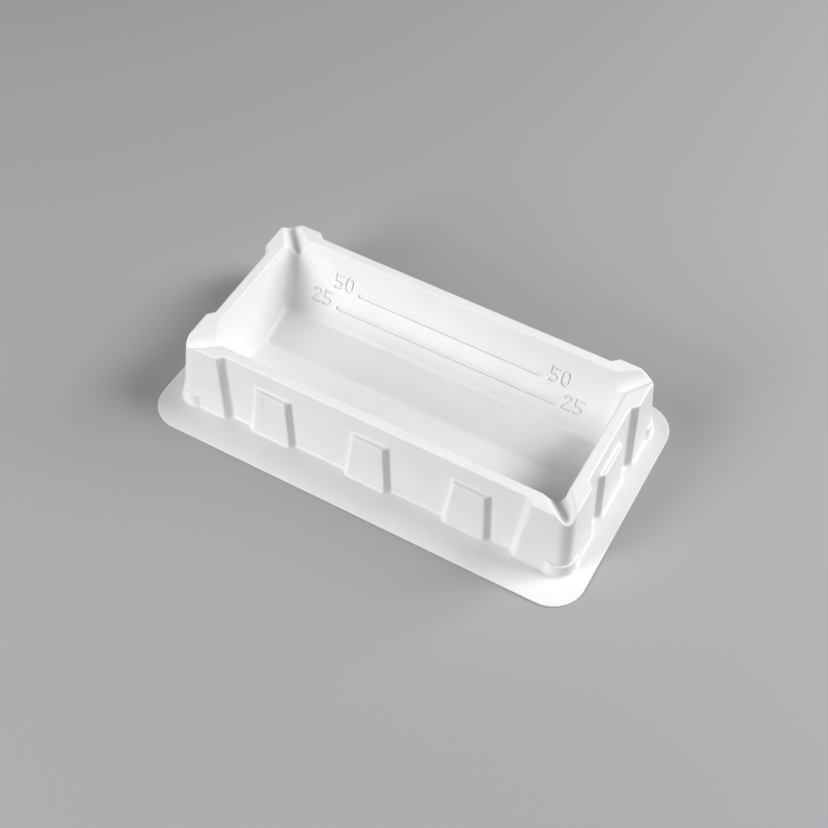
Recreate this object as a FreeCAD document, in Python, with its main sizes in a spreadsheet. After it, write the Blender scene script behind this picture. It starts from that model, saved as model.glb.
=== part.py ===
"""A formed reagent reservoir: one thin white sheet, shaped as a V-bottomed trough with a rim,
outer walls, four corner blocks with pour spouts, and a flat flange to stand on.

The sheet is modelled as a mould maker sees it. A solid called the skin has every face that shows from
above. A second solid, the hollow, has the same shape moved inwards by the sheet's thickness. The tray
is the skin with the hollow cut away from below. Lengths are in millimetres and angles in degrees.
"""
import FreeCAD, Part
import os

import Sketcher

# Driving sizes. Everything else follows from them.
SIZES = {
    # the sheet, and the trough's mouth at the rim
    "sheet": 0.55,
    "tall": 25.5,
    "mouth_length": 116.2,
    "mouth_width": 49.2,
    # level rim between the mouth and the outer walls, and the lean of those walls
    "rim_end": 3.45,
    "rim_side": 3.05,
    "wall_draft": 5.0,
    # flange, measured out from the rim
    "flange_end": 9.95,
    "flange_front": 14.65,
    "flange_back": 10.05,
    "flange_corner": 10.2,
    # corner blocks: how far their top reaches along each wall from the corner
    "block_long": 12.1,
    "block_short": 13.2,
    "block_proud": 1.95,
    "block_corner": 3.8,
    # pads on the walls, the plain wall between a pad and a block at the foot, and how far a pad's plan
    # goes into its wall
    "pad_width": 12.7,
    "pad_tall": 18.6,
    "pad_proud": 1.65,
    "pad_gap": 6.42,
    "end_pad_gap": 3.22,
    "pad_buried": 3.0,
    # feet at the corners, round in plan
    "foot_radius": 5.0,
    "foot_tall": 5.2,
    "foot_proud": 0.7,
    "foot_round": 0.4,
    # trough
    "side_lean": 27.2,
    "end_lean": 5.7,
    "floor_slope": 13.5,
    "floor_clearance": 0.25,
    "over_mouth": 1.0,
    # pour spouts: depth below the rim at the trough's corner and at the lip
    "spout_depth": 4.0,
    "spout_lip": 2.2,
    "spout_floor": 1.6,
    "spout_side": 56.0,
    "spout_inside": 6.0,
    "spout_reach": 17.0,
    # graduation marks, pressed into the back wall of the trough
    "mark_depth": 0.25,
    "mark_width": 1.2,
    "full_level": 16.1,
    "full_margin": 26.1,
    "half_level": 9.96,
    "half_margin": 19.8,
    "digit_tall": 5.1,
    "digit_width": 3.0,
    "digit_gap": 0.75,
    "digit_stroke": 0.75,
    "digit_clear": 2.0,
    "digit_drop": 0.6,
    # roundings: the rim's edges, then the upright edges of blocks and pads, then the rest
    "rim_round": 0.5,
    "edge_round": 0.8,
    "block_root": 1.5,
    "pad_top_round": 0.35,
    "pad_root": 0.8,
    "flange_root": 1.0,
    "trough_round": 2.9,
    "spout_round": 1.3,
}

# Sizes that follow, each a formula on the cells before it.
DERIVED = {
    "rim_length": "mouth_length + 2 * rim_end",
    "rim_width": "mouth_width + 2 * rim_side",
    "end_edge": "rim_length / 2 + flange_end",
    "front_edge": "rim_width / 2 + flange_front",
    "back_edge": "rim_width / 2 + flange_back",
    "foot_out": "tall * tan(wall_draft)",
    "pad_pitch": "rim_length / 2 - block_long - foot_out - pad_gap - pad_proud - pad_width / 2",
    "end_pad_width": "rim_width - 2 * (block_short + foot_out + end_pad_gap + pad_proud)",
    "full_length": "mouth_length - 2 * full_margin",
    "half_length": "mouth_length - 2 * half_margin",
}

# the 45 degree ends of blocks and pads lean more than the walls, so that each corner runs out evenly
END_DRAFT = "atan(sqrt(2) * tan(<wall_draft>))"
# how far the corner between a face and a 45 degree end moves for each unit of inset
END_SHIFT = f"(sqrt(2) / cos({END_DRAFT}) - 1 / cos(<wall_draft>))"
# how steeply a spout's floor rises from the trough's corner to the lip
SPOUT_RISE = "atan((<spout_depth> - <spout_lip>) / (sqrt(2) * <rim_end> + <block_proud>))"


def make_sheet(doc):
    """Writes the sizes to a spreadsheet, one named cell each, with the derived ones as formulas."""
    sheet = doc.addObject("Spreadsheet::Sheet", "Sizes")
    cells = {name: str(value) for name, value in SIZES.items()}
    cells.update((name, f"={formula}") for name, formula in DERIVED.items())
    for row, (name, content) in enumerate(cells.items(), start=1):
        sheet.set(f"A{row}", name)
        sheet.set(f"B{row}", content)
        sheet.setAlias(f"B{row}", name)
    doc.recompute()


def cell(text):
    """An expression with each <name> made a reference to its cell in the sheet."""
    text = text.replace("<", "Sizes.").replace(">", "")
    for kind in ("placement", "vector", "rotation"):
        text = text.replace(f"@{kind}@", f"<<{kind}>>")
    return text


def evaluate(text):
    """The value of an expression now."""
    return float(FreeCAD.ActiveDocument.Sizes.evalExpression(cell(text)))


def origin_part(body, role):
    return next(part for part in body.Origin.OriginFeatures if part.Role == role)


def finish(body, feature):
    """Leaves a new feature as the body's tip and works out its shape."""
    if hasattr(feature, "Refine"):
        feature.Refine = False
    body.Tip = feature
    FreeCAD.ActiveDocument.recompute()
    return feature


# ---------------------------------------------------------------- sketches

def outline(body, name, loops, role="XY_Plane", **place):
    """A sketch of closed loops, each corner held by two expressions.

    A corner is (x, y), or (x, y, middle_x, middle_y, turn) when an arc leaves it: turn is 1 for
    anticlockwise and -1 for clockwise. place may hold expressions for x, y, z and the whole placement.
    """
    sketch = body.newObject("Sketcher::SketchObject", name)
    sketch.AttachmentSupport = (origin_part(body, role), [""])
    sketch.MapMode = "FlatFace"
    if "placement" in place:
        sketch.setExpression("AttachmentOffset", cell(place["placement"]))
    for axis in "xyz":
        if axis in place:
            sketch.setExpression(f"AttachmentOffset.Base.{axis}", cell(place[axis]))
    for loop in loops:
        draw_loop(sketch, loop)
    return sketch


def draw_loop(sketch, loop):
    """Adds one closed loop to a sketch: first its lines and arcs, then what ties them to the sheet."""
    first = sketch.GeometryCount
    points = [FreeCAD.Vector(evaluate(corner[0]), evaluate(corner[1]), 0) for corner in loop]
    ends = []
    for corner, start, end in zip(loop, points, points[1:] + points[:1]):
        is_arc = len(corner) > 2
        ends.append(draw_arc(sketch, corner, start, end) if is_arc else draw_line(sketch, start, end))
    for number, corner in enumerate(loop):
        following = (number + 1) % len(loop)
        sketch.addConstraint(Sketcher.Constraint(
            "Coincident", first + number, ends[number][1], first + following, ends[following][0]))
        hold(sketch, first + number, ends[number][0], "DistanceX", corner[0])
        hold(sketch, first + number, ends[number][0], "DistanceY", corner[1])
        if len(corner) > 2:
            chord = points[following] - points[number]
            if abs(chord.y) > abs(chord.x):
                hold(sketch, first + number, 3, "DistanceX", corner[2])
            else:
                hold(sketch, first + number, 3, "DistanceY", corner[3])


def draw_line(sketch, start, end):
    """A line, with the numbers that a sketch gives its first and last points."""
    sketch.addGeometry(Part.LineSegment(start, end))
    return 1, 2


def draw_arc(sketch, corner, start, end):
    """An arc, which a sketch always holds anticlockwise, with the numbers of its first and last points."""
    middle = FreeCAD.Vector(evaluate(corner[2]), evaluate(corner[3]), 0)
    circle = Part.Circle(middle, FreeCAD.Vector(0, 0, 1), (start - middle).Length)
    anticlockwise = corner[4] > 0
    low, high = (start, end) if anticlockwise else (end, start)
    sketch.addGeometry(Part.ArcOfCircle(circle, circle.parameter(low), circle.parameter(high)))
    return (1, 2) if anticlockwise else (2, 1)


def hold(sketch, geometry, point, kind, text):
    """Ties one coordinate of a sketch point to an expression."""
    held = sketch.addConstraint(Sketcher.Constraint(kind, -1, 1, geometry, point, evaluate(text)))
    sketch.setExpression(f"Constraints[{held}]", cell(text))


# ---------------------------------------------------------------- features

def extrude(body, kind, name, profile, length, **settings):
    """A pad or a pocket of a sketch. A pocket goes down into the sketch's plane unless it is reversed."""
    feature = body.newObject(f"PartDesign::{kind}", name)
    feature.Profile = profile
    for setting, value in settings.items():
        setattr(feature, setting, value)
    feature.setExpression("Length", cell(length))
    return finish(body, feature)


def draft(body, name, angle, wanted):
    """Leans the picked faces of the body's tip inwards, about their lines on the ground."""
    base = body.Tip
    names = [f"Face{number}" for number, face in enumerate(base.Shape.Faces, start=1) if wanted(face)]
    feature = body.newObject("PartDesign::Draft", name)
    feature.Base = (base, names)
    feature.NeutralPlane = (origin_part(body, "XY_Plane"), [""])
    feature.PullDirection = (origin_part(body, "Z_Axis"), [""])
    feature.setExpression("Angle", cell(angle))
    return finish(body, feature)


def fillet(body, name, radius, *tests):
    """Rounds the edges of the body's tip that pass a test, those of the first test before the next."""
    base = body.Tip
    edges = list(enumerate(base.Shape.Edges, start=1))
    names = [f"Edge{number}" for wanted in tests for number, edge in edges if wanted(edge)]
    feature = body.newObject("PartDesign::Fillet", name)
    feature.Base = (base, names)
    feature.setExpression("Radius", cell(radius))
    return finish(body, feature)


def repeat(body, name, feature, steps):
    """The feature again through mirrors, given by plane, and rows along X, given by length and count."""
    pattern = body.newObject("PartDesign::MultiTransform", name)
    pattern.Originals = [feature]
    moves = []
    for number, step in enumerate(steps):
        if isinstance(step, str):
            move = body.newObject("PartDesign::Mirrored", f"{name}_{number}")
            move.MirrorPlane = (origin_part(body, step), [""])
        else:
            move = body.newObject("PartDesign::LinearPattern", f"{name}_{number}")
            move.Direction = (origin_part(body, "X_Axis"), [""])
            move.setExpression("Length", cell(step[0]))
            move.Occurrences = step[1]
        moves.append(move)
    pattern.Transformations = moves
    return finish(body, pattern)


# ---------------------------------------------------------------- picking faces and edges

def is_upright_face(face):
    """An exactly upright flat face."""
    return isinstance(face.Surface, Part.Plane) and abs(face.Surface.Axis.z) < 1e-6


def is_diagonal(face):
    return abs(abs(face.Surface.Axis.x) - abs(face.Surface.Axis.y)) < 0.01


def upright_wall(face):
    return is_upright_face(face) and not is_diagonal(face) and face.BoundBox.ZLength > 1


def upright_end(face):
    return is_upright_face(face) and is_diagonal(face)


def reach(edge, axis):
    """How far an edge gets from the middle along X or Y."""
    return max(abs(getattr(edge.BoundBox, f"{axis}Min")), abs(getattr(edge.BoundBox, f"{axis}Max")))


def flat_edge_at(height):
    """A test for level edges at a height."""
    level = evaluate(height)
    return lambda edge: abs(edge.BoundBox.ZMin - level) < 0.001 and abs(edge.BoundBox.ZMax - level) < 0.001


# ---------------------------------------------------------------- the formed shape

def half_over(size_name, inset):
    """Half the length or width over the outer walls at the ground."""
    return f"(<{size_name}> / 2 + <foot_out> - ({inset}) / cos(<wall_draft>))"


def block_outline(inset):
    """The walls and their four corner blocks at the ground."""
    end = half_over("rim_length", inset)
    side = half_over("rim_width", inset)
    shift = f"(<foot_out> - {END_SHIFT} * ({inset}))"
    along = f"(<rim_length> / 2 + <block_proud> - <block_long> - {shift})"
    across = f"(<rim_width> / 2 + <block_proud> - <block_short> - {shift})"
    quarter = [
        (end, f"{across} - <block_proud>"),
        (f"{end} + <block_proud>", across),
        (f"{end} + <block_proud>", f"{side} + <block_proud>"),
        (along, f"{side} + <block_proud>"),
        (f"{along} - <block_proud>", side),
    ]
    corners = []
    for x_sign, y_sign in ((1, 1), (-1, 1), (-1, -1), (1, -1)):
        ordered = quarter if x_sign == y_sign else quarter[::-1]
        corners += [(f"{x_sign} * ({x})", f"{y_sign} * ({y})") for x, y in ordered]
    return corners


def add_walls(body, inset):
    """The outer walls with their corner blocks, from the ground to the rim."""
    plan = outline(body, f"{body.Name}_wall_plan", [block_outline(inset)])
    extrude(body, "Pad", f"{body.Name}_walls", plan, f"<tall> - ({inset})")
    draft(body, f"{body.Name}_wall_draft", "<wall_draft>", upright_wall)
    draft(body, f"{body.Name}_end_draft", END_DRAFT, upright_end)
    far_x = evaluate("<rim_length> / 2 + <block_proud> / 2")
    far_y = evaluate("<rim_width> / 2 + <block_proud> / 2")
    most = evaluate("<tall> / 2")

    def outer_corner(edge):
        middle = edge.BoundBox.Center
        return edge.BoundBox.ZLength > most and abs(middle.x) > far_x and abs(middle.y) > far_y

    def end_edge(edge):
        return stands_out(edge) and not outer_corner(edge)

    if body.Name == "skin":
        stands_out, root = upright_tests("<tall>", "<block_proud>")
        fillet(body, "block_edges", "<edge_round>", end_edge)
        fillet(body, "block_roots", "<block_root>", root)
    fillet(body, f"{body.Name}_block_corners", f"<block_corner> - ({inset})", outer_corner)


def upright_tests(height, proud):
    """Two tests for the upright edges of blocks or pads: those that stand out, and their roots."""
    level = evaluate(height)
    middle_x = evaluate(f"{half_over('rim_length', '0')} + {proud} / 2")
    middle_y = evaluate(f"{half_over('rim_width', '0')} + {proud} / 2")

    def upright(edge):
        return abs(edge.BoundBox.ZMax - level) < 0.5 and edge.BoundBox.ZLength > level / 2

    def beyond(edge):
        return reach(edge, "X") > middle_x or reach(edge, "Y") > middle_y

    return (lambda edge: upright(edge) and beyond(edge)), (lambda edge: upright(edge) and not beyond(edge))


def pad_loop(width, wall, middle, inset, turned):
    """A pad at the ground with 45 degree ends, its plan carried on into the wall behind."""
    half = f"(<{width}> / 2 - {END_SHIFT} * ({inset}))"
    wall_half = half_over(wall, inset)
    buried_half = f"({half} + <pad_proud> + <pad_buried>)"
    corners = [
        (f"{middle} - {buried_half}", f"{wall_half} - <pad_buried>"),
        (f"{middle} + {buried_half}", f"{wall_half} - <pad_buried>"),
        (f"{middle} + {half}", f"{wall_half} + <pad_proud>"),
        (f"{middle} - {half}", f"{wall_half} + <pad_proud>"),
    ]
    return [(y, x) for x, y in corners] if turned else corners


def add_pads(body, inset):
    """Three pads on each long wall and one on each end wall."""
    places = ("-<pad_pitch>", "0", "<pad_pitch>")
    loops = [pad_loop("pad_width", "rim_width", place, inset, False) for place in places]
    loops.append(pad_loop("end_pad_width", "rim_length", "0", inset, True))
    loops += [[(f"-({x})", f"-({y})") for x, y in loop] for loop in loops]
    plan = outline(body, f"{body.Name}_pad_plan", loops)
    extrude(body, "Pad", f"{body.Name}_pads", plan, f"<pad_tall> - ({inset})")
    draft(body, f"{body.Name}_pad_draft", "<wall_draft>", upright_wall)
    draft(body, f"{body.Name}_pad_end_draft", END_DRAFT, upright_end)
    if body.Name == "skin":
        round_pads(body)


def round_pads(body):
    """Rounds the pads' upright edges, then their top edges, then their roots in the wall."""
    stands_out, root = upright_tests("<pad_tall>", "<pad_proud>")
    at_top = flat_edge_at("<pad_tall>")
    wall_end = evaluate("<rim_length> / 2 + (<tall> - <pad_tall>) * tan(<wall_draft>)") + 0.05
    wall_side = evaluate("<rim_width> / 2 + (<tall> - <pad_tall>) * tan(<wall_draft>)") + 0.05

    def outside(edge):
        middle = edge.BoundBox.Center
        return at_top(edge) and (abs(middle.x) > wall_end or abs(middle.y) > wall_side)

    fillet(body, "pad_edges", "<edge_round>", stands_out)
    fillet(body, "pad_tops", "<pad_top_round>", outside)
    fillet(body, "pad_roots", "<pad_root>", root)


def add_feet(body, inset):
    """A low foot under each corner block: a leaning cylinder that steps out a little from the block.

    Its top edge is rounded on the outside of the sheet.
    """
    lean = "tan(<wall_draft>)"
    middle = f"<block_proud> + <foot_proud> - <foot_radius> - <foot_tall> * {lean}"
    top = f"(<foot_tall> - ({inset}))"
    ground = f"(<foot_radius> + <foot_tall> * {lean} - ({inset}) / cos(<wall_draft>))"
    edge = f"({ground} - {top} * {lean})"
    if body.Name == "skin":
        run = "(<foot_round> * tan(45 - <wall_draft> / 2))"
        rounded = [
            (f"({edge} + {run} * sin(<wall_draft>))", f"({top} - {run} * cos(<wall_draft>))",
             f"({edge} - {run})", f"({top} - <foot_round>)", 1),
            (f"({edge} - {run})", top)]
    else:
        rounded = [(edge, top)]
    half = [("0", "0"), (ground, "0"), *rounded, ("0", top)]
    section = outline(
        body, f"{body.Name}_foot_section", [half], role="XZ_Plane",
        x=f"{half_over('rim_length', '0')} + {middle}",
        z=f"-({half_over('rim_width', '0')} + {middle})")
    foot = body.newObject("PartDesign::Revolution", f"{body.Name}_foot")
    foot.Profile = section
    foot.ReferenceAxis = (section, ["V_Axis"])
    foot.Angle = 360
    finish(body, foot)
    repeat(body, f"{body.Name}_feet", foot, ["YZ_Plane", "XZ_Plane"])


def add_flange(body):
    """The flat flange round the foot of the walls, wider in front."""
    round_x = "(<end_edge> - <flange_corner>)"
    near = "(-<front_edge> + <flange_corner>)"
    far = "(<back_edge> - <flange_corner>)"
    loop = [
        (f"-{round_x}", "-<front_edge>"), (round_x, "-<front_edge>", round_x, near, 1),
        ("<end_edge>", near), ("<end_edge>", far, round_x, far, 1),
        (round_x, "<back_edge>"), (f"-{round_x}", "<back_edge>", f"-{round_x}", far, 1),
        ("-<end_edge>", far), ("-<end_edge>", near, f"-{round_x}", near, 1),
    ]
    plan = outline(body, "flange_plan", [loop])
    extrude(body, "Pad", "flange", plan, "<sheet>")


def round_foot(body):
    """Rounds the corner between the walls and the flange."""
    at_flange = flat_edge_at("<sheet>")
    end = evaluate("<end_edge>") - 0.5
    side = evaluate("min(<front_edge>; <back_edge>)") - 0.5

    def foot(edge):
        return at_flange(edge) and reach(edge, "X") < end and reach(edge, "Y") < side

    fillet(body, "flange_root", "<flange_root>", foot)


def cut_trough(body, inset):
    """The trough: four leaning walls, then the two slopes of its floor put back below them."""
    wedge = body.newObject("PartDesign::SubtractiveWedge", f"{body.Name}_trough")
    wedge.AttachmentSupport = (origin_part(body, "XZ_Plane"), [""])
    wedge.MapMode = "FlatFace"
    wedge.setExpression("Ymin", "0")
    wedge.setExpression("Ymax", cell("<tall> + <over_mouth>"))
    for axis, mouth, lean in (("X", "mouth_length", "end_lean"), ("Z", "mouth_width", "side_lean")):
        grow = f"({inset}) / cos(<{lean}>)"
        ground = f"(<{mouth}> / 2 - <tall> * tan(<{lean}>) + {grow})"
        top = f"(<{mouth}> / 2 + <over_mouth> * tan(<{lean}>) + {grow})"
        wedge.setExpression(f"{axis}min", cell(f"-{ground}"))
        wedge.setExpression(f"{axis}max", cell(ground))
        wedge.setExpression(f"{axis}2min", cell(f"-{top}"))
        wedge.setExpression(f"{axis}2max", cell(top))
    finish(body, wedge)
    valley = f"(<floor_clearance> + (<sheet> - ({inset})) / cos(<floor_slope>))"
    half = "(<mouth_width> / 2)"
    crease = f"({valley} + {half} * tan(<floor_slope>))"
    slopes = [(f"-{half}", "0"), (half, "0"), (half, crease), ("0", valley), (f"-{half}", crease)]
    section = outline(body, f"{body.Name}_floor_section", [slopes], role="YZ_Plane")
    extrude(body, "Pad", f"{body.Name}_floor", section, "<mouth_length>", Midplane=True)


def round_trough(body, inset):
    """Rounds the inside corners of the trough, down to its valley."""
    end = evaluate(f"<mouth_length> / 2 + 2 * ({inset})") + 0.2
    side = evaluate(f"<mouth_width> / 2 + 2 * ({inset})") + 0.2
    rim = evaluate(f"<tall> - ({inset})")

    def inside(edge):
        within = reach(edge, "X") < end and reach(edge, "Y") < side
        return within and 0.01 < edge.BoundBox.ZMin < rim - 0.5

    fillet(body, f"{body.Name}_trough_rounding", f"<trough_round> + ({inset})", inside)


def cut_spouts(body, inset):
    """A straight channel from each corner of the trough, rising as it goes out over the corner block."""
    floor = f"(<spout_floor> / 2 + ({inset}) * tan(<spout_side> / 2))"
    depth = f"(<spout_depth> + ({inset}))"
    above = "(2 * <over_mouth>)"
    half = f"({floor} + ({depth} + {above}) / tan(<spout_side>))"
    section = [(f"-{floor}", f"-{depth}"), (floor, f"-{depth}"), (half, above), (f"-{half}", above)]
    back = f"(<spout_inside> / sqrt(2))"
    placement = (
        f"create(@placement@; create(@vector@; <mouth_length> / 2 - {back}; <mouth_width> / 2 - {back};"
        f" <tall> - <spout_inside> * tan({SPOUT_RISE}));"
        f" create(@rotation@; create(@vector@; 0; 0; 1); 135) *"
        f" create(@rotation@; create(@vector@; 1; 0; 0); 90 deg - {SPOUT_RISE}))")
    sketch = outline(body, f"{body.Name}_spout_section", [section], placement=placement)
    spout = extrude(body, "Pocket", f"{body.Name}_spout", sketch, "<spout_reach>", Reversed=True)
    repeat(body, f"{body.Name}_spouts", spout, ["YZ_Plane", "XZ_Plane"])


def round_spouts(body, inset):
    """Rounds the two creases along the floor of each spout, which makes it a U."""
    low = evaluate(f"<tall> - <spout_depth> - ({inset}) - <spout_inside> * tan({SPOUT_RISE})") - 0.5
    high = evaluate(f"<tall> - <spout_lip> - ({inset})") + 0.5
    shortest = evaluate("<spout_inside>") / 2

    def crease(edge):
        box = edge.BoundBox
        diagonal = box.XLength > shortest and abs(box.XLength - box.YLength) < 0.1 * box.XLength
        return diagonal and low < box.ZMin and box.ZMax < high

    fillet(body, f"{body.Name}_spout_floors", f"<spout_round> + ({inset})", crease)


def round_rim(body):
    """Rounds every edge of the rim at once: outside, round the mouth, and over the spouts' lips."""
    at_rim = flat_edge_at("<tall>")
    lowest = evaluate("<tall> - <spout_depth>")
    corner = evaluate("(<rim_length> + <rim_width>) / 2 - <block_proud>")

    def lip(edge):
        box = edge.BoundBox
        nearest = min(abs(box.XMin), abs(box.XMax)) + min(abs(box.YMin), abs(box.YMax))
        return box.ZMin > lowest and nearest > corner and not at_rim(edge)

    fillet(body, "rim_edges", "<rim_round>", at_rim, lip)


# ---------------------------------------------------------------- graduation marks

def slot_loop(level, length):
    """A long slot with round ends, centred on a level of the back wall."""
    half = f"(<{length}> / 2 - <mark_width> / 2)"
    low = f"({level} - <mark_width> / 2)"
    high = f"({level} + <mark_width> / 2)"
    return [
        (f"-{half}", low), (half, low, half, level, 1),
        (half, high), (f"-{half}", high, f"-{half}", level, 1)]


def shifted(loop, left, base):
    """A digit's loop moved from its own corner to a place on the wall."""
    moved = []
    for corner in loop:
        places = [f"({left} + {value})" if number % 2 == 0 else f"({base} + {value})"
                  for number, value in enumerate(corner[:4])]
        moved.append((*places, *corner[4:]))
    return moved


def zero_loops():
    """The outside and the inside of a nought."""
    wide = "<digit_width>"
    tall = "<digit_tall>"
    stroke = "<digit_stroke>"
    middle = f"({wide} / 2)"
    loops = []
    for inset in ("0", stroke):
        low = f"({wide} / 2)"
        high = f"({tall} - {wide} / 2)"
        right = f"({wide} - {inset})"
        loops.append([
            (right, low), (right, high, middle, high, 1), (inset, high), (inset, low, middle, low, 1)])
    return loops


def five_loops():
    """A five: a top bar, a stem and a round bowl open to the left."""
    wide = "<digit_width>"
    tall = "<digit_tall>"
    stroke = "<digit_stroke>"
    bowl = "(0.3 * <digit_tall>)"
    middle = f"({wide} - {bowl})"
    return [[
        (wide, tall), ("0", tall), ("0", f"(2 * {bowl} - {stroke})"),
        (middle, f"(2 * {bowl} - {stroke})", middle, bowl, -1), (middle, stroke),
        ("0", stroke), ("0", "0"), (middle, "0", middle, bowl, 1), (middle, f"(2 * {bowl})"),
        (stroke, f"(2 * {bowl})"), (stroke, f"({tall} - {stroke})"), (wide, f"({tall} - {stroke})")]]


def two_loops():
    """A two: a round top, a slanted stroke and a foot bar."""
    wide = "<digit_width>"
    tall = "<digit_tall>"
    stroke = "<digit_stroke>"
    middle = f"({wide} / 2)"
    centre = f"({tall} - {wide} / 2)"
    inner = f"({wide} / 2 - {stroke})"
    return [[
        ("0", "0"), (wide, "0"), (wide, stroke), (f"(1.5 * {stroke})", stroke),
        (f"({middle} + {middle} * cos(35))", f"({centre} - {middle} * sin(35))", middle, centre, 1),
        ("0", centre), (stroke, centre, middle, centre, -1),
        (f"({middle} + {inner} * cos(35))", f"({centre} - {inner} * sin(35))"),
        ("0", f"(1.2 * {stroke})")]]


def press_marks(body):
    """Two level lines on the back wall of the trough, each with its number at both ends."""
    lean = "(90 deg - <side_lean> * 1 deg)"
    up_wall = "((<{level}> - <tall>) / cos(<side_lean>))"
    placement = (
        f"create(@placement@; create(@vector@; 0; <mouth_width> / 2; <tall>);"
        f" create(@rotation@; create(@vector@; 1; 0; 0); {lean}))")
    rows = (
        ("full", (five_loops, zero_loops)),
        ("half", (two_loops, five_loops)),
    )
    for name, digits in rows:
        level = up_wall.format(level=f"{name}_level")
        line = outline(body, f"{name}_line", [slot_loop(level, f"{name}_length")], placement=placement)
        extrude(body, "Pocket", f"{name}_mark", line, "<mark_depth>")
        pitch = "(<digit_width> + <digit_gap>)"
        start = f"(-<{name}_length> / 2 - <digit_clear> - {pitch} - <digit_width>)"
        base = f"({level} - <digit_drop>)"
        loops = []
        for place, digit in enumerate(digits):
            loops += [shifted(loop, f"({start} + {place} * {pitch})", base) for loop in digit()]
        number = outline(body, f"{name}_number", loops, placement=placement)
        pocket = extrude(body, "Pocket", f"{name}_digits", number, "<mark_depth>")
        across = f"(<{name}_length> + 2 * <digit_clear> + {pitch} + <digit_width>)"
        repeat(body, f"{name}_both_ends", pocket, [(across, 2)])


def main():
    doc = FreeCAD.newDocument("reagent_reservoir")
    make_sheet(doc)
    skin = doc.addObject("PartDesign::Body", "skin")
    hollow = doc.addObject("PartDesign::Body", "hollow")
    for body, inset in ((skin, "0"), (hollow, "<sheet>")):
        add_walls(body, inset)
        if body is skin:
            add_flange(body)
        add_pads(body, inset)
        add_feet(body, inset)
        if body is skin:
            round_foot(body)
        cut_trough(body, inset)
        round_trough(body, inset)
        cut_spouts(body, inset)
        round_spouts(body, inset)
        if body is skin:
            round_rim(body)
            press_marks(body)
    tray = doc.addObject("Part::Cut", "reservoir_tray")
    tray.Base = skin
    tray.Tool = hollow
    tray.Label = "reservoir_tray"
    tray.setExpression("Placement.Base.y", cell("(<front_edge> - <back_edge>) / 2"))
    doc.recompute()
    for item in doc.Objects:
        if "Invalid" in item.State or "Error" in item.State:
            raise RuntimeError(f"{item.Name} failed: {item.State}")
    shape = tray.Shape
    if shape.isNull() or not shape.isValid():
        raise RuntimeError("reservoir_tray has no valid shape")
    print("reservoir_tray", len(shape.Solids), shape.Volume, shape.BoundBox)
    os.makedirs("parts", exist_ok=True)
    shape.exportStep("parts/reservoir_tray.step")


main()
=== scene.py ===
# %% [markdown]
# # A formed reagent reservoir
#
# The object is one sheet of white plastic, warmed and drawn over a mould: a V-bottomed trough, outer
# walls with corner blocks and pads, four pour spouts and a flat flange. The exact shape comes from the
# imported CAD model, so the work here is its finish, and the floor, light and camera that show it.
# The first cell loads the model as a fixed frame and keeps its size.

# %% Load the frame
import math

import bpy
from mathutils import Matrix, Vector


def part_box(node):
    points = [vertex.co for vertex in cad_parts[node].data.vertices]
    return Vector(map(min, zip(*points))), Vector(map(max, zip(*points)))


MM = 0.001

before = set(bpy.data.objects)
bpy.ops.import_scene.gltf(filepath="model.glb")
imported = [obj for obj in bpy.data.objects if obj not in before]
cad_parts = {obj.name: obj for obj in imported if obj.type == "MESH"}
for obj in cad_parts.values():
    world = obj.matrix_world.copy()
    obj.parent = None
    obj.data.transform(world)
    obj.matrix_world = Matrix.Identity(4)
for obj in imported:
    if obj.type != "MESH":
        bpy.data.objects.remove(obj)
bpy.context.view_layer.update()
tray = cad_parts["reservoir_tray"]
low, high = (Vector(corner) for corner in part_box("reservoir_tray"))
print("tray, mm:", [round(value / MM, 2) for value in (high - low)])

# %% [markdown]
# # Shader maths as Python
#
# A procedural material is a graph of nodes. Wiring it by hand hides the idea behind it, so each socket
# is wrapped in a small class with Python's own operators. Then `0.4 + 0.1 * noise` adds the Math nodes
# that it needs. Numbers alone are worked out in Python, and colours go through Mix nodes.


# %% The socket class
class Wire:
    """An output socket that can be used in sums and products."""

    def __init__(self, finish, socket):
        self.finish = finish
        self.socket = socket

    def _math(self, operation, first, second):
        return self.finish.node("ShaderNodeMath", {"operation": operation}, {0: first, 1: second})

    def __add__(self, other):
        return self._math("ADD", self, other)

    def __radd__(self, other):
        return self._math("ADD", other, self)

    def __mul__(self, other):
        return self._math("MULTIPLY", self, other)

    def __rmul__(self, other):
        return self._math("MULTIPLY", other, self)


class Finish:
    """A material's nodes, made through one method."""

    def __init__(self, name):
        self.material = bpy.data.materials.new(name)
        self.material.use_nodes = True
        self.tree = self.material.node_tree
        self.surface = self.tree.nodes["Principled BSDF"]

    def node(self, kind, settings, links, output=0):
        """Adds a node, sets it up, joins its inputs, and returns one of its outputs."""
        made = self.tree.nodes.new(kind)
        for setting, value in settings.items():
            setattr(made, setting, value)
        for socket, value in links.items():
            self.join(made.inputs[socket], value)
        return Wire(self, made.outputs[output])

    def join(self, socket, value):
        """Links a wire to a socket, or sets the socket to a constant."""
        if isinstance(value, Wire):
            self.tree.links.new(value.socket, socket)
        else:
            socket.default_value = value

    def set(self, **values):
        """Sets the surface's own sockets, named with underscores for spaces."""
        for name, value in values.items():
            self.join(self.surface.inputs[name.replace("_", " ")], value)


# %% [markdown]
# # White formed plastic
#
# The sheet is white polystyrene, a little translucent and satin rather than glossy. Four things keep
# it from looking like painted card. Light enters the sheet a little way, so shadows in it are soft.
# A drawn sheet has no sharp corners, so a Bevel node rounds in the shading those that the model's
# roundings leave. It reaches a little less far than the sheet is thick, so that the two sides stay
# apart. Drawing the sheet over the mould leaves it very slightly uneven, which breaks up reflections.
# The mould also leaves a fine grain, and the gloss is not quite the same all over. The last two are
# noise in Object coordinates at real sizes: a grain under a millimetre, unevenness of a centimetre.
# Painted images could carry them too, but noise needs no unwrapping and keeps its size by itself.

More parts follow.
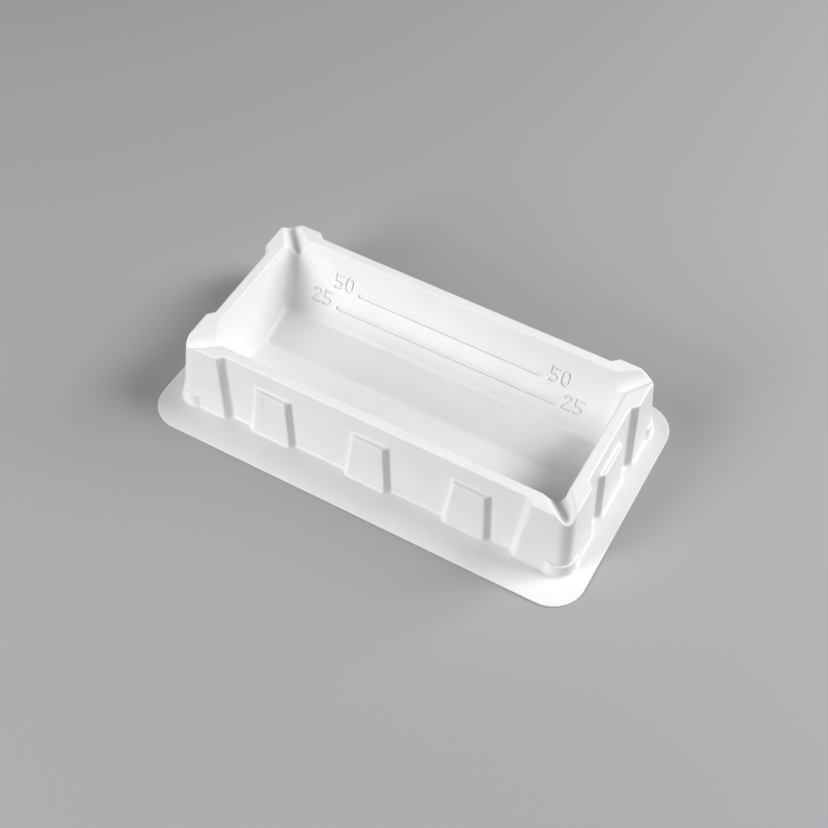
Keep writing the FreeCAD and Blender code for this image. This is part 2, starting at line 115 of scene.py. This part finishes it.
# %% The plastic's maps
plastic = Finish("white_formed_plastic")
place = plastic.node("ShaderNodeTexCoord", {}, {}, "Object")


def noise(size_mm, detail):
    """Noise whose features are about this size on the object."""
    return plastic.node("ShaderNodeTexNoise", {"noise_dimensions": "3D"}, {
        "Vector": place, "Scale": 1 / (size_mm * MM), "Detail": detail})


grain = noise(0.45, 3.0)
patches = noise(14.0, 2.0)
drawn = noise(9.0, 1.0)

# %% Colour and gloss
COOL_WHITE = (0.845, 0.85, 0.855, 1.0)
WARM_WHITE = (0.875, 0.875, 0.87, 1.0)
# a Mix node has sockets for every kind of data, and these are the ones for colour
MIX_FACTOR, MIX_A, MIX_B, MIX_RESULT = 0, 6, 7, 2

warmth = plastic.node("ShaderNodeMapRange", {}, {"Value": patches, "From Min": 0.35, "From Max": 0.65})
colour = plastic.node("ShaderNodeMix", {"data_type": "RGBA"}, {
    MIX_FACTOR: warmth, MIX_A: COOL_WHITE, MIX_B: WARM_WHITE}, MIX_RESULT)
gloss = 0.33 + 0.10 * patches + 0.05 * grain

# %% Relief
EDGE_ROUND = 0.5 * MM
WAVE_HEIGHT = 0.06 * MM
GRAIN_HEIGHT = 0.006 * MM

corners = plastic.node("ShaderNodeBevel", {"samples": 8}, {"Radius": EDGE_ROUND})
waves = plastic.node("ShaderNodeBump", {}, {
    "Strength": 0.35, "Distance": WAVE_HEIGHT, "Height": drawn, "Normal": corners})
relief = plastic.node("ShaderNodeBump", {}, {
    "Strength": 0.25, "Distance": GRAIN_HEIGHT, "Height": grain, "Normal": waves})

# %% Surface
plastic.set(
    Base_Color=colour, Roughness=gloss, Normal=relief, IOR=1.5,
    Subsurface_Weight=0.35, Subsurface_Radius=(1.0, 0.95, 0.9), Subsurface_Scale=0.6 * MM)
print("plastic nodes:", len(plastic.tree.nodes))

# %% Dress the tray
for slot in tray.material_slots:
    slot.material = plastic.material
print("tray slots:", [slot.material.name for slot in tray.material_slots])

# %% [markdown]
# # Floor
#
# The tray stands on a plain pale surface, a step darker than the plastic so that the white flange
# shows against it. A flat plane is enough, because the camera looks down on it and its far edge stays
# out of the camera's view. A much lower view would need a curved backdrop to hide that edge.

# %% Floor
FLOOR_SIDE = 3.0
PALE_GREY = (0.39, 0.39, 0.4, 1.0)

# the loaded model is still selected, and an operator acts on all that is
bpy.ops.object.select_all(action="DESELECT")
bpy.ops.mesh.primitive_plane_add(size=FLOOR_SIDE, location=(0, 0, low.z))
floor = bpy.context.object
floor.name = "floor"
paper = Finish("pale_floor")
paper.set(Base_Color=PALE_GREY, Roughness=0.85)
floor.data.materials.append(paper.material)

# %% [markdown]
# # Light
#
# A white tray is drawn by its shadows. The light comes from two sides, front left and back right, and
# each side has two square panels, one low and one high, which together act as one tall soft window.
# Faces that look between the two sides, towards the front right, stay grey, which makes the ends of
# the pads and blocks stand out. There is no other light, so hollows stay dark. The Standard view
# shows white as white, where the usual one would make it greyer.

# %% Panels
MIDDLE = Vector((0, 0, 12 * MM))
PANEL_AWAY = 0.9
PANEL_SIZE = 0.35


def direction(turn, height):
    """The way out from the tray, in degrees: turn from the front to the right, height above level."""
    turn, height = math.radians(turn), math.radians(height)
    return Vector((math.sin(turn) * math.cos(height), -math.cos(turn) * math.cos(height), math.sin(height)))


def panel(name, turn, height, power):
    """A square soft panel that looks at the tray."""
    way = direction(turn, height)
    bpy.ops.object.light_add(type="AREA", location=MIDDLE + way * PANEL_AWAY)
    light = bpy.context.object
    light.name = name
    light.data.size = PANEL_SIZE
    light.data.energy = power
    light.rotation_euler = way.to_track_quat("Z", "Y").to_euler()
    print(name, "at", [round(value, 3) for value in light.location])


panel("front_low", -28, 25, 4.75)
panel("front_high", -42, 45, 2.1)
panel("back_low", 135, 25, 3.3)
panel("back_high", 120, 45, 5.3)

# %% Room
room = bpy.data.worlds.new("dark_room")
room.use_nodes = True
room.node_tree.nodes["Background"].inputs["Strength"].default_value = 0.0
bpy.context.scene.world = room
bpy.context.scene.view_settings.view_transform = "Standard"

# %% [markdown]
# # Camera
#
# The camera looks down on the tray from the front and a little from the right, with the long side
# running away to the lower right. It is a real viewpoint: its distance sets the perspective.

# %% Camera
CAMERA_TURN = 27.506
CAMERA_HEIGHT = 52.941
CAMERA_ROLL = 1.896
CAMERA_DISTANCE = 423.4 * MM
CAMERA_LENS = 59.93
AIM = Vector((-0.17 * MM, 0.97 * MM, 0))

away = direction(CAMERA_TURN, CAMERA_HEIGHT)
bpy.ops.object.camera_add(location=AIM + away * CAMERA_DISTANCE)
camera = bpy.context.object
camera.rotation_euler = away.to_track_quat("Z", "Y").to_euler()
camera.rotation_euler.rotate_axis("Z", math.radians(CAMERA_ROLL))
camera.data.lens = CAMERA_LENS
camera.data.sensor_width = 36.0
camera.data.clip_start = 0.01
bpy.context.scene.camera = camera
print("camera at", [round(value, 4) for value in camera.location])
